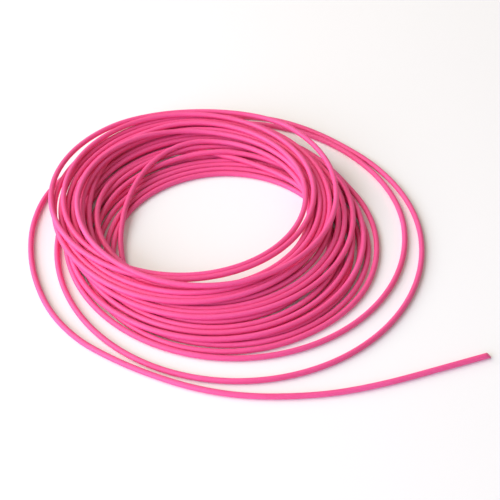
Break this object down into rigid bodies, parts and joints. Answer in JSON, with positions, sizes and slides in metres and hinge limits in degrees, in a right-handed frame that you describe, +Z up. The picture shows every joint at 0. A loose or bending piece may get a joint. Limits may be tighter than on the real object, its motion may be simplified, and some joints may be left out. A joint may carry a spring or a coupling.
{
  "type": "coil of fishing line",
  "caption": "Loose coil of heavy round fishing line with wide outer turns and one free tail cut off slantwise, lying flat.",
  "frame": {"origin": "on the surface that the coil lies on, under the middle of the whole outline, tail included", "axes": "+Z up off the surface; +X along the longest extent, towards the cut tip of the free tail; +Y across, away from the side that the tail runs along"},
  "size_m": [0.1604, 0.1435, 0.0101],
  "materials": {
    "line": "smooth matte, with a soft sheen along the line"
  },
  "bodies": {
    "root": {"free_end": "line", "tail": "line", "wide_turns": "line", "lower_turns": "line", "upper_turns": "line", "hidden_end": "line"}
  },
  "joints": []
}
